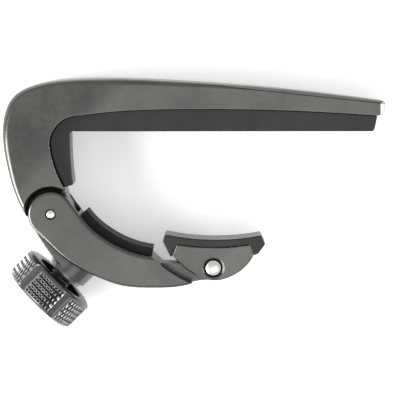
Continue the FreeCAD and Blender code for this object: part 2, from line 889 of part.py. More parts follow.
def main():
    os.makedirs("parts", exist_ok=True)
    for name, make in make_parts.items():
        shape = make()
        print(name, shape.isValid(), len(shape.Solids), round(shape.Volume, 1))
        shape.exportStep("parts/" + name + ".step")


if __name__ == "__main__":
    main()
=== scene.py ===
"""Looks of a clamp-on guitar capo, built round its fixed frame of parts.

The capo lies on its side: +X runs from the hinge end to the tip of the string bar, +Y from
the neck towards the bar and +Z up through the thickness. Lengths are in metres.
"""

from __future__ import annotations

import json
import logging
import math
from collections.abc import Callable
from dataclasses import dataclass
from enum import Enum

import bpy
from mathutils import Matrix, Vector

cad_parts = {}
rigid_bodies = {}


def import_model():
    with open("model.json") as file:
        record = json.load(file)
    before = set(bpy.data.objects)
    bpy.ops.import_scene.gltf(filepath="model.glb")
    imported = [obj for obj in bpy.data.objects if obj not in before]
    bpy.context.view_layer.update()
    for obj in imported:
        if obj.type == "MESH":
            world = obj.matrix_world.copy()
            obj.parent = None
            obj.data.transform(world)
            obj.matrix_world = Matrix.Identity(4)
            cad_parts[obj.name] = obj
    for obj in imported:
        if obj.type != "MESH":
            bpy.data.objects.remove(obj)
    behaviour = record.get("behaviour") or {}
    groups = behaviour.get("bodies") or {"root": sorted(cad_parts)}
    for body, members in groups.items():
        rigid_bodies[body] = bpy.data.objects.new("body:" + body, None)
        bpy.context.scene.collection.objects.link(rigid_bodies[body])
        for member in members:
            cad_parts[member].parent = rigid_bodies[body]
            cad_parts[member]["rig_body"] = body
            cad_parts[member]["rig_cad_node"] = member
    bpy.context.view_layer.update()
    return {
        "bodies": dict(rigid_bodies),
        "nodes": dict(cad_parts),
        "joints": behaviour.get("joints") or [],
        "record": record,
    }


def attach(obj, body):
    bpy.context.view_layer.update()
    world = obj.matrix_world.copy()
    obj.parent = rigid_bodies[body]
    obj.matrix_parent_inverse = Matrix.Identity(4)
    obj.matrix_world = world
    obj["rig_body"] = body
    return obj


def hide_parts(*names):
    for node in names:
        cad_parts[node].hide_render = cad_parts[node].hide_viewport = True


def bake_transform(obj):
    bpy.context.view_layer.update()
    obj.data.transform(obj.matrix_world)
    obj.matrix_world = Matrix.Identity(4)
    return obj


LOG = logging.getLogger("capo")
MM = 0.001
MERGE_DISTANCE = 1e-6
Piece = bpy.types.Object
Socket = bpy.types.NodeSocket
Colour = tuple[float, float, float]

HINGE = Vector((-36.5, -17.5, 0.0)) * MM
SCREW_DIR = Vector((1.0, 1.0, 0.0)).normalized()
SCREW_CROSS = Vector((-1.0, 1.0, 0.0)).normalized()
SCREW_OFFSET = 11.28 * MM
TOGGLE = Vector((-1.95, -29.2, 0.0)) * MM
# Where the painted shade line under the bar's facet runs.
CREASE_START = Vector((-4.8, 10.17, 0.0)) * MM
CREASE_END = Vector((34.5, 5.96, 0.0)) * MM
CREASE_FADE = 9 * MM
CREASE_RISE = (-0.22 * MM, -0.06 * MM)
CREASE_DROP = (0.02 * MM, 0.1 * MM)
CREASE_SHADE_STRENGTH = 0.85
# Soft edge of the painted shade round the pins.
PIN_SHADE_BLUR = 0.08 * MM
HEEL_CORNER = Vector((-1.0, 1.0, 0.0)).normalized()
FALL_START = 21 * MM
FALL_REACH = 20 * MM


def on_screw(along: float) -> Vector:
    """A point on the thumb screw's axis.

    Args:
        along: Distance from the hinge's projection, towards the arm.

    Returns:
        The point, in metres.
    """
    return HINGE - SCREW_CROSS * SCREW_OFFSET + SCREW_DIR * along


def screw_place(along: float, turn: float = 0.0, outwards: bool = False) -> Matrix:
    """A frame on the thumb screw's axis, with its own Z along that axis.

    Args:
        along: Where the frame's origin is on the axis.
        turn: Turn of the frame about its own Z, in degrees.
        outwards: Whether its Z points to the knob's free end.

    Returns:
        The frame as a matrix.
    """
    z = -SCREW_DIR if outwards else SCREW_DIR
    x = Vector((0.0, 0.0, 1.0))
    y = z.cross(x)
    frame = Matrix((x, y, z)).transposed().to_4x4()
    return Matrix.Translation(on_screw(along)) @ frame @ Matrix.Rotation(math.radians(turn), 4, "Z")


class Slot(Enum):
    """The record's material slots."""

    CAST = "gunmetal"
    KNURLED = "gunmetal_knurled"
    TURNED = "gunmetal_steel"
    STEEL = "bright_steel"
    SPRING = "spring_steel"
    BRONZE = "bearing_bronze"
    NYLON = "nylon"
    RUBBER = "black_rubber"


# ---- finishes ----------------------------------------------------------------------------------


class NodeDesk:
    """Adds and joins the nodes of one material."""

    def __init__(self, name: str) -> None:
        """Starts an empty material.

        Args:
            name: The material's name.
        """
        self.material = bpy.data.materials.new(name)
        self.material.use_nodes = True
        self.tree = self.material.node_tree
        self.tree.nodes.clear()
        self.output = self.tree.nodes.new("ShaderNodeOutputMaterial")
        self.shader = self.tree.nodes.new("ShaderNodeBsdfPrincipled")
        self.join(self.shader.outputs["BSDF"], self.output.inputs["Surface"])
        self.coordinates = self.tree.nodes.new("ShaderNodeTexCoord")
        self.place = self.coordinates.outputs["Object"]

    def join(self, source: Socket, target: Socket) -> None:
        """Links one socket to another."""
        self.tree.links.new(source, target)

    def calc(self, operation: str, first: Socket, second: Socket | float = 0.0) -> Socket:
        """Works one value out from two others.

        Args:
            operation: The name of the sum.
            first: Its first value.
            second: Its second value, where it has one.

        Returns:
            The result.
        """
        node = self.tree.nodes.new("ShaderNodeMath")
        node.operation = operation
        self.join(first, node.inputs[0])
        if isinstance(second, float):
            node.inputs[1].default_value = second
        else:
            self.join(second, node.inputs[1])
        return node.outputs[0]

    def dot(self, first: Socket, second: Socket | Vector) -> Socket:
        """How far one direction or place reaches along another.

        Args:
            first: The first direction or place.
            second: The second one.

        Returns:
            The dot product.
        """
        node = self.tree.nodes.new("ShaderNodeVectorMath")
        node.operation = "DOT_PRODUCT"
        self.join(first, node.inputs[0])
        if isinstance(second, Vector):
            node.inputs[1].default_value = second
        else:
            self.join(second, node.inputs[1])
        return node.outputs["Value"]

    def noise(self, size: float, detail: float = 3.0, roughness: float = 0.55) -> Socket:
        """Adds a noise pattern.

        Args:
            size: Size of the pattern's features, in metres.
            detail: How many finer layers lie on it.
            roughness: How strong those layers are.

        Returns:
            The pattern's value, about 0 to 1.
        """
        node = self.tree.nodes.new("ShaderNodeTexNoise")
        node.inputs["Scale"].default_value = 1.0 / size
        node.inputs["Detail"].default_value = detail
        node.inputs["Roughness"].default_value = roughness
        self.join(self.place, node.inputs["Vector"])
        return node.outputs["Fac"]

    def between(
        self, value: Socket, low: float, high: float, start: float = 0.3, end: float = 0.7
    ) -> Socket:
        """Maps a pattern's value to a range.

        Args:
            value: The pattern.
            low: Result where the pattern is at start or below.
            high: Result where it is at end or above.
            start: Lower value of the pattern.
            end: Upper value of the pattern.

        Returns:
            The mapped value.
        """
        node = self.tree.nodes.new("ShaderNodeMapRange")
        node.inputs["From Min"].default_value = start
        node.inputs["From Max"].default_value = end
        node.inputs["To Min"].default_value = low
        node.inputs["To Max"].default_value = high
        self.join(value, node.inputs["Value"])
        return node.outputs["Result"]

    def blend(self, share: Socket, first: Socket | Colour, second: Socket | Colour) -> Socket:
        """Mixes two colours.

        Args:
            share: How much of the second shows.
            first: Colour where the share is 0.
            second: Colour where the share is 1.

        Returns:
            The mixed colour.
        """
        node = self.tree.nodes.new("ShaderNodeMix")
        node.data_type = "RGBA"
        self.join(share, node.inputs["Factor"])
        for name, colour in (("A", first), ("B", second)):
            target = next(s for s in node.inputs if s.name == name and s.type == "RGBA")
            if isinstance(colour, tuple):
                target.default_value = (*colour, 1.0)
            else:
                self.join(colour, target)
        return next(s for s in node.outputs if s.type == "RGBA")

    def level(self, share: Socket, first: Socket, second: float) -> Socket:
        """Mixes a value with a plain number.

        Args:
            share: How much of the number shows.
            first: The value where the share is 0.
            second: The number where the share is 1.

        Returns:
            The mixed value.
        """
        node = self.tree.nodes.new("ShaderNodeMix")
        self.join(share, node.inputs[0])
        self.join(first, node.inputs[2])
        node.inputs[3].default_value = second
        return node.outputs[0]

    def rounded(self, radius: float) -> Socket:
        """The surface's normal, rounded over edges.

        Args:
            radius: Radius of the rounding, in metres.

        Returns:
            The normal.
        """
        node = self.tree.nodes.new("ShaderNodeBevel")
        node.samples = 6
        node.inputs["Radius"].default_value = radius
        return node.outputs["Normal"]

    def edge_share(self, radius: float, strength: float) -> Socket:
        """How near a point is to an edge, from 0 on a flat to about 1 on the edge.

        Args:
            radius: How far in from the edge the value reaches, in metres.
            strength: How fast it rises.

        Returns:
            The value.
        """
        geometry = self.tree.nodes.new("ShaderNodeNewGeometry")
        flatness = self.dot(self.rounded(radius), geometry.outputs["Normal"])
        return self.between(flatness, strength, 0.0, 0.8, 0.995)

    def crevice(self, reach: float) -> Socket:
        """How open a point is, from 0 deep in a gap to 1 in the open.

        Args:
            reach: How far neighbouring surfaces count, in metres.

        Returns:
            The value.
        """
        node = self.tree.nodes.new("ShaderNodeAmbientOcclusion")
        node.samples = 6
        node.inputs["Distance"].default_value = reach
        return self.between(node.outputs["AO"], 0.0, 1.0, 0.25, 0.8)

    def turned_share(self, start: float, end: float) -> Socket:
        """How far the surface turns from a face of the capo to its sides.

        Args:
            start: The normal's height where the value is 0.
            end: Its height where the value is 1.

        Returns:
            The value: 0 on the faces and on the sides, 1 on the rounding between them.
        """
        upward = self.dot(self.coordinates.outputs["Normal"], Vector((0.0, 0.0, 1.0)))
        height = self.calc("ABSOLUTE", upward)
        rising = self.between(height, 1.0, 0.0, end, start)
        falling = self.between(height, 0.0, 1.0, 0.1, 0.4)
        return self.calc("MULTIPLY", rising, falling)

    def slope(self, towards: Vector, start: float, reach: float) -> Socket:
        """How far a point lies past a line, squared, for a surface that falls away there.

        Args:
            towards: Direction of the fall.
            start: Distance of the line from the origin.
            reach: Distance past the line where the value is 1.

        Returns:
            The value.
        """
        past = self.between(self.dot(self.place, towards), 0.0, 1.0, start, start + reach)
        return self.calc("POWER", past, 2.0)

    def crease_line(self) -> Socket:
        """1 along the painted shade line under the bar's facet, fading towards the heel.

        Returns:
            The value.
        """
        run = (CREASE_END - CREASE_START).normalized()
        across = Vector((-run.y, run.x, 0.0))
        middle = CREASE_START.dot(across)
        beside = self.dot(self.place, across)
        rise = self.between(beside, 0.0, 1.0, *(middle + edge for edge in CREASE_RISE))
        drop = self.between(beside, 1.0, 0.0, *(middle + edge for edge in CREASE_DROP))
        start = CREASE_START.x
        along = self.dot(self.place, Vector((1.0, 0.0, 0.0)))
        fade = self.between(along, 0.0, CREASE_SHADE_STRENGTH, start, start + CREASE_FADE)
        return self.calc("MULTIPLY", self.calc("MULTIPLY", rise, drop), fade)

    def ring(self, centre: Vector, radius: float) -> Socket:
        """1 within the circle of painted shade round a pin, 0 outside it.

        Args:
            centre: The pin's axis.
            radius: The circle's radius.

        Returns:
            The value.
        """
        flat = self.tree.nodes.new("ShaderNodeVectorMath")
        flat.operation = "MULTIPLY"
        flat.inputs[1].default_value = (1, 1, 0)
        self.join(self.place, flat.inputs[0])
        reach = self.tree.nodes.new("ShaderNodeVectorMath")
        reach.operation = "DISTANCE"
        reach.inputs[1].default_value = (centre.x, centre.y, 0)
        self.join(flat.outputs[0], reach.inputs[0])
        return self.between(reach.outputs["Value"], 1.0, 0.0, radius, radius + PIN_SHADE_BLUR)

    def attribute(self, name: str) -> Socket:
        """Reads a value that the mesh carries."""
        node = self.tree.nodes.new("ShaderNodeAttribute")
        node.attribute_name = name
        return node.outputs["Fac"]

    def bump(self, height: Socket, depth: float, normal: Socket | None = None) -> Socket:
        """Turns a pattern into relief.

        Args:
            height: The pattern.
            depth: Depth of the relief, in metres.
            normal: Normal that the relief lies on.

        Returns:
            The new normal.
        """
        node = self.tree.nodes.new("ShaderNodeBump")
        node.inputs["Strength"].default_value = 1.0
        node.inputs["Distance"].default_value = depth
        self.join(height, node.inputs["Height"])
        if normal is not None:
            self.join(normal, node.inputs["Normal"])
        return node.outputs["Normal"]


def darker(tone: Colour, share: float) -> Colour:
    """A colour with only a share of its light."""
    red, green, blue = tone
    return red * share, green * share, blue * share


@dataclass(frozen=True)
class Metal:
    """A satin metal: fine grain, faint patches, painted shade in gaps, round pins and along the
    bar's crease, and edges painted brighter as wear and highlight.

    Attributes:
        name: Name of the material.
        tone: Its main colour.
        patch: Colour of its faint patches.
        rubbed: Colour along its edges, for rubbed wear and a painted highlight.
        roughness: Middle of its roughness.
        metallic: How metallic it is.
        patch_size: Size of the faint patches.
        streak: Size of the spots that shine more or less.
        grain: Size of its grain.
        grain_depth: Depth of that grain.
        sway: Depth of the slow swell of its surface.
        sway_size: Size of that swell.
        edge: Radius its edges are rounded to.
        wear: How far the edges take that colour.
        gap: How far painted shade reaches from a gap, or 0.
        polish: Roughness of the rounding between faces and sides.
        fall: How far the heel's crown drops to its outer corner, or 0.
        rings: Centre and radius of the painted shade round each pin.
        crease: Whether the painted shade line under the bar's facet is on it.
    """

    name: str
    tone: Colour
    patch: Colour
    rubbed: Colour
    roughness: float = 0.38
    metallic: float = 1.0
    patch_size: float = 9 * MM
    streak: float = 1.2 * MM
    grain: float = 0.25 * MM
    grain_depth: float = 0.004 * MM
    sway: float = 0.0
    sway_size: float = 26 * MM
    edge: float = 0.12 * MM
    wear: float = 0.5
    gap: float = 0.0
    polish: float = 0.2
    fall: float = 0.0
    rings: tuple[tuple[Vector, float], ...] = ()
    crease: bool = False

    def material(self) -> bpy.types.Material:
        """Builds the finish as a node material."""
        desk = NodeDesk(self.name)
        patches = desk.between(desk.noise(self.patch_size, 4.0), 0.0, 1.0, 0.35, 0.7)
        body = desk.blend(patches, self.tone, self.patch)
        # Edges painted brighter: rubbed wear and painted highlight.
        body = self.rub(desk, body)
        # Painted shade: the colour darkens in gaps, where neighbouring surfaces hem a point in.
        if self.gap:
            painted_shade = darker(self.tone, 0.08)
            body = desk.blend(desk.crevice(self.gap), painted_shade, body)
            # Painted shade: a dark ring round each pin.
            for centre, radius in self.rings:
                body = desk.blend(desk.ring(centre, radius), body, painted_shade)
        # Painted shade along the crease under the bar's facet.
        if self.crease:
            body = desk.blend(desk.crease_line(), body, darker(self.tone, 0.15))
        desk.join(body, desk.shader.inputs["Base Color"])
        low, high = self.roughness - 0.04, self.roughness + 0.05
        rough = desk.between(desk.noise(self.streak, 5.0), low, high)
        rough = desk.level(desk.turned_share(0.985, 0.9), rough, self.polish)
        desk.join(rough, desk.shader.inputs["Roughness"])
        desk.join(self.relief(desk), desk.shader.inputs["Normal"])
        desk.shader.inputs["Metallic"].default_value = self.metallic
        return desk.material

    def rub(self, desk: NodeDesk, body: Socket) -> Socket:
        """Paints the edges brighter, as rubbed wear and as a painted highlight.

        Args:
            desk: The material's nodes.
            body: Colour without the brightened edges.

        Returns:
            The colour with them.
        """
        return desk.blend(desk.edge_share(2 * self.edge, self.wear), body, self.rubbed)

    def relief(self, desk: NodeDesk) -> Socket:
        """Rounds the edges and adds the swell and the grain.

        Args:
            desk: The material's nodes.

        Returns:
            The surface's normal.
        """
        normal = desk.rounded(self.edge)
        if self.sway:
            normal = desk.bump(desk.noise(self.sway_size, 0.0), self.sway, normal)
        if self.fall:
            slope = desk.slope(HEEL_CORNER, FALL_START, FALL_REACH)
            normal = desk.bump(slope, -self.fall, normal)
        return desk.bump(desk.noise(self.grain, 4.0, 0.6), self.grain_depth, normal)


@dataclass(frozen=True)
class Knurled(Metal):
    """The satin metal on a knurl, with wear and a painted highlight on its points and painted shade
    in its valleys.

    Attributes:
        point: Name of the value that the mesh carries, 1 on each point; it sets the painted
            highlight and wear there.
    """

    point: str = "knurl_point_wear_and_highlight"

    def rub(self, desk: NodeDesk, body: Socket) -> Socket:
        """Paints the knurl's points brighter, as wear and highlight, and its valleys darker, as
        shade.

        Args:
            desk: The material's nodes.
            body: Colour without the painted points and valleys.

        Returns:
            The colour with them.
        """
        height = desk.attribute(self.point)
        low = desk.between(height, 0.0, 1.0, 0.0, 0.5)
        high = desk.between(height, 0.0, self.wear, 0.6, 1.0)
        # Painted shade in the valleys; painted highlight and wear on the points.
        shaded_valleys = desk.blend(low, darker(self.tone, 0.12), body)
        return desk.blend(high, shaded_valleys, self.rubbed)

    def relief(self, desk: NodeDesk) -> Socket:
        """Leaves the knurl's own facets and adds the grain."""
        return desk.bump(desk.noise(self.grain, 3.0), self.grain_depth)


@dataclass(frozen=True)
class Rubber:
    """Matt black moulded rubber with a faint bloom and dusty edges.

    Attributes:
        name: Name of the material.
        tone: Its main colour.
        bloom: Colour of the bloom on it.
        roughness: Middle of its roughness.
        shine: How strongly it reflects.
        cloud: Size of the bloom's patches.
        streak: Size of the spots that shine more or less.
        dust: How far in from an edge the dust lies.
        pore: Size of its finest relief.
        pore_depth: Depth of that relief.
    """

    name: str
    tone: Colour
    bloom: Colour
    roughness: float = 0.3
    shine: float = 0.35
    cloud: float = 5 * MM
    streak: float = 0.8 * MM
    dust: float = 0.25 * MM
    pore: float = 0.18 * MM
    pore_depth: float = 0.006 * MM

    def material(self) -> bpy.types.Material:
        """Builds the finish as a node material."""
        desk = NodeDesk(self.name)
        cloud = desk.between(desk.noise(self.cloud, 5.0), 0.0, 1.0, 0.4, 0.75)
        body = desk.blend(cloud, self.tone, self.bloom)
        edge = desk.edge_share(self.dust, 0.35)
        desk.join(desk.blend(edge, body, self.bloom), desk.shader.inputs["Base Color"])
        low, high = self.roughness - 0.06, self.roughness + 0.06
        rough = desk.between(desk.noise(self.streak, 4.0), low, high)
        desk.join(rough, desk.shader.inputs["Roughness"])
        relief = desk.bump(desk.noise(self.pore, 3.0), self.pore_depth)
        desk.join(relief, desk.shader.inputs["Normal"])
        desk.shader.inputs["Specular IOR Level"].default_value = self.shine
        return desk.material


@dataclass(frozen=True)
class Moulded:
    """Smooth moulded plastic.

    Attributes:
        name: Name of the material.
        tone: Its main colour.
        shade: Colour of its slow variation.
        roughness: Middle of its roughness.
    """

    name: str
    tone: Colour
    shade: Colour
    roughness: float = 0.45

    def material(self) -> bpy.types.Material:
        """Builds the finish as a node material."""
        desk = NodeDesk(self.name)
        cloud = desk.between(desk.noise(2 * MM, 3.0), 0.0, 1.0)
        desk.join(desk.blend(cloud, self.tone, self.shade), desk.shader.inputs["Base Color"])
        low, high = self.roughness - 0.05, self.roughness + 0.05
        rough = desk.between(desk.noise(0.5 * MM, 2.0), low, high)
        desk.join(rough, desk.shader.inputs["Roughness"])
        desk.join(desk.bump(desk.noise(0.2 * MM, 2.0), 0.002 * MM), desk.shader.inputs["Normal"])
        return desk.material


@dataclass(frozen=True)
class Finishes:
    """Every finish of the capo. The finish of a slot has the slot's name."""

    # Painted shade in gaps, round the hinge and toggle pins and along the bar's crease.
    cast: Metal = Metal(
        "satin_gunmetal", (0.094, 0.094, 0.091), (0.122, 0.124, 0.111), (0.3, 0.3, 0.29),
        roughness=0.29, sway=1.0 * MM, edge=0.16 * MM, gap=1.6 * MM, fall=5.0 * MM,
        rings=((HINGE, 1.12 * MM), (TOGGLE, 1.96 * MM)), crease=True,
    )
    # Painted highlight and wear on the knurl's points, painted shade in its valleys.
    knurled: Metal = Knurled(
        "knurled_gunmetal", (0.13, 0.13, 0.127), (0.11, 0.11, 0.108), (0.62, 0.62, 0.61),
        roughness=0.32, wear=1.0,
    )
    # Painted shade in gaps.
    turned: Metal = Metal(
        "turned_gunmetal", (0.14, 0.14, 0.138), (0.12, 0.12, 0.118), (0.4, 0.4, 0.39),
        roughness=0.3, gap=0.6 * MM,
    )
    steel: Metal = Metal(
        "bright_steel", (0.72, 0.72, 0.71), (0.66, 0.66, 0.65), (0.8, 0.8, 0.79),
        roughness=0.24, edge=0.06 * MM,
    )
    # The stud's steel is darkened, with painted shade in its gaps, to stand in for the shade in the
    # knob's recess.
    thread: Metal = Metal(
        "threaded_steel", (0.2, 0.2, 0.2), (0.16, 0.16, 0.16), (0.3, 0.3, 0.3),
        roughness=0.35, edge=0.03 * MM, gap=3.0 * MM, polish=0.35,
    )
    spring: Metal = Metal(
        "spring_steel", (0.42, 0.42, 0.43), (0.36, 0.36, 0.37), (0.55, 0.55, 0.55),
        roughness=0.3, edge=0.03 * MM,
    )
    bronze: Metal = Metal(
        "bearing_bronze", (0.48, 0.3, 0.13), (0.4, 0.24, 0.1), (0.65, 0.45, 0.22),
        roughness=0.4, edge=0.04 * MM,
    )
    nylon: Moulded = Moulded("white_nylon", (0.78, 0.77, 0.72), (0.7, 0.69, 0.64))
    rubber: Rubber = Rubber("black_rubber", (0.011, 0.011, 0.0115), (0.017, 0.017, 0.0175))
    strip: Rubber = Rubber(
        "dull_black_rubber", (0.008, 0.008, 0.0082), (0.014, 0.014, 0.0145),
        roughness=0.6, shine=0.2,
    )

    def materials(self) -> dict[Slot, bpy.types.Material]:
        """Builds the finish of every slot once.

        Returns:
            The materials by slot.
        """
        return {slot: getattr(self, slot.name.lower()).material() for slot in Slot}


# ---- modelling ---------------------------------------------------------------------------------


def take(piece: Piece) -> None:
    """Selects one piece alone and makes it active."""
    bpy.ops.object.select_all(action="DESELECT")
    piece.select_set(True)
    bpy.context.view_layer.objects.active = piece


def select_points(piece: Piece, test: Callable[[Vector], bool]) -> None:
    """Leaves edit mode selecting the points that pass a test.

    Args:
        piece: The piece, in edit mode.
        test: Says whether a point is wanted, from its place.
    """
    bpy.ops.mesh.select_mode(type="VERT")
    bpy.ops.mesh.select_all(action="DESELECT")
    bpy.ops.object.mode_set(mode="OBJECT")
    for point in piece.data.vertices:
        point.select = test(point.co)
    bpy.ops.object.mode_set(mode="EDIT")


def select_faces(piece: Piece, test: Callable[[bpy.types.MeshPolygon], bool]) -> None:
    """Leaves edit mode selecting the faces that pass a test.

    Args:
        piece: The piece, in edit mode.
        test: Says whether a face is wanted.
    """
    bpy.ops.mesh.select_mode(type="FACE")
    bpy.ops.mesh.select_all(action="DESELECT")
    bpy.ops.object.mode_set(mode="OBJECT")
    for face in piece.data.polygons:
        face.select = test(face)
    bpy.ops.object.mode_set(mode="EDIT")


def merged_copy(node: str, name: str) -> Piece:
    """A copy of a CAD node whose loose triangles are joined and whose flats are whole.

    Args:
        node: The CAD node.
        name: Name of the copy.

    Returns:
        The copy, with no parent.
    """
    original = bpy.data.objects[node]
    piece = original.copy()
    piece.data = original.data.copy()
    piece.name = name
    piece.data.name = name
    piece.parent = None
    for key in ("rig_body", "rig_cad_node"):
        del piece[key]
    bpy.context.scene.collection.objects.link(piece)
    take(piece)
    bpy.ops.mesh.customdata_custom_splitnormals_clear()
    bpy.ops.object.mode_set(mode="EDIT")
    bpy.ops.mesh.select_all(action="SELECT")
    bpy.ops.mesh.remove_doubles(threshold=MERGE_DISTANCE)
    bpy.ops.mesh.dissolve_limited(angle_limit=math.radians(0.4))
    bpy.ops.object.mode_set(mode="OBJECT")
    return piece


def round_edges(piece: Piece, radius: float, sharper_than: float = 35.0, segments: int = 3) -> None:
    """Rounds a piece's sharp edges.

    Args:
        piece: The piece.
        radius: Radius of the rounding.
        sharper_than: Least angle between faces that counts as an edge, in degrees.
        segments: Steps across the rounding.
    """
    take(piece)
    bpy.ops.object.mode_set(mode="EDIT")
    bpy.ops.mesh.select_mode(type="EDGE")
    bpy.ops.mesh.select_all(action="DESELECT")
    bpy.ops.mesh.edges_select_sharp(sharpness=math.radians(sharper_than))
    bpy.ops.mesh.bevel(offset=radius, segments=segments, profile=0.5, clamp_overlap=True)
    bpy.ops.object.mode_set(mode="OBJECT")


def finish_piece(piece: Piece, material: bpy.types.Material, smooth: float = 40.0) -> Piece:
    """Puts a piece's place in its mesh, smooths it and dresses it.

    Args:
        piece: The piece.
        material: Its finish.
        smooth: Angle below which neighbouring faces shade as one, in degrees.

    Returns:
        The same piece.
    """
    take(piece)
    bpy.ops.object.transform_apply(location=True, rotation=True, scale=True)
    bpy.ops.object.shade_smooth_by_angle(angle=math.radians(smooth))
    piece.data.materials.clear()
    piece.data.materials.append(material)
    return piece


def turn_rings(name: str, rings: list[tuple[float, float]], sides: int) -> Piece:
    """Draws a turned shape ring by ring, on the Z axis.

    Args:
        name: Name of the piece.
        rings: Height and radius of each ring.
        sides: Points round each ring.

    Returns:
        The open shell, at the origin.
    """
    height, radius = rings[0]
    bpy.ops.object.select_all(action="DESELECT")
    bpy.ops.mesh.primitive_circle_add(vertices=sides, radius=radius, location=(0, 0, height))
    piece = bpy.context.active_object
    piece.name = name
    piece.data.name = name
    bpy.ops.object.transform_apply(location=True, rotation=True, scale=True)
    bpy.ops.object.mode_set(mode="EDIT")
    bpy.ops.mesh.select_all(action="SELECT")
    for next_height, next_radius in rings[1:]:
        bpy.ops.mesh.extrude_region_move(
            TRANSFORM_OT_translate={"value": (0, 0, next_height - height)}
        )
        grow = next_radius / radius
        bpy.ops.transform.resize(value=(grow, grow, 1), center_override=(0, 0, next_height))
        height, radius = next_height, next_radius
    bpy.ops.object.mode_set(mode="OBJECT")
    return piece


def face_outwards(piece: Piece) -> None:
    """Merges doubled points and turns every face outwards."""
    take(piece)
    bpy.ops.object.mode_set(mode="EDIT")
    bpy.ops.mesh.select_all(action="SELECT")
    bpy.ops.mesh.remove_doubles(threshold=MERGE_DISTANCE)
    bpy.ops.mesh.normals_make_consistent(inside=False)
    bpy.ops.object.mode_set(mode="OBJECT")


def use_modifier(piece: Piece, kind: str, **settings: object) -> None:
    """Adds a modifier with its settings and applies it.

    Args:
        piece: The piece.
        kind: The modifier's type.
        **settings: Its settings, by name.
    """
    take(piece)
    modifier = piece.modifiers.new(kind.lower(), kind)
    for key, value in settings.items():
        setattr(modifier, key, value)
    bpy.ops.object.modifier_apply(modifier=modifier.name)


# ---- sub-assemblies ----------------------------------------------------------------------------


@dataclass
class RubberPad:
    """A moulded rubber pad that stands for its CAD solid.

    Attributes:
        node: The CAD solid.
        name: Name of the pad.
        body: Body that it rides on.
        edge: Radius of its rounded edges.
        groove: Depth of the shallow panel along each side, or 0.
        margin: Plain border round that panel.
        fill: How tight the pad is; not used.
    """

    node: str
    name: str
    body: str
    edge: float = 0.3 * MM
    groove: float = 0.0
    margin: float = 0.45 * MM
    fill: float = 1.0

    def build(self, material: bpy.types.Material) -> Piece:
        """Models the pad and puts it in its CAD solid's place.

        Args:
            material: Its finish.

        Returns:
            The pad.
        """
        pad = merged_copy(self.node, self.name)
        if self.groove:
            self.sink_sides(pad)
        round_edges(pad, self.edge)
        finish_piece(pad, material)
        use_modifier(pad, "WEIGHTED_NORMAL", keep_sharp=True)
        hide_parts(self.node)
        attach(pad, self.body)
        return pad

    def sink_sides(self, pad: Piece) -> None:
        """Sinks a shallow panel into each flat side.

        Args:
            pad: The pad.
        """
        take(pad)
        for side in (1, -1):
            bpy.ops.object.mode_set(mode="EDIT")
            select_faces(pad, lambda face: face.normal.z * side > 0.99)
            bpy.ops.mesh.inset(thickness=self.margin, depth=-self.groove)
            bpy.ops.object.mode_set(mode="OBJECT")


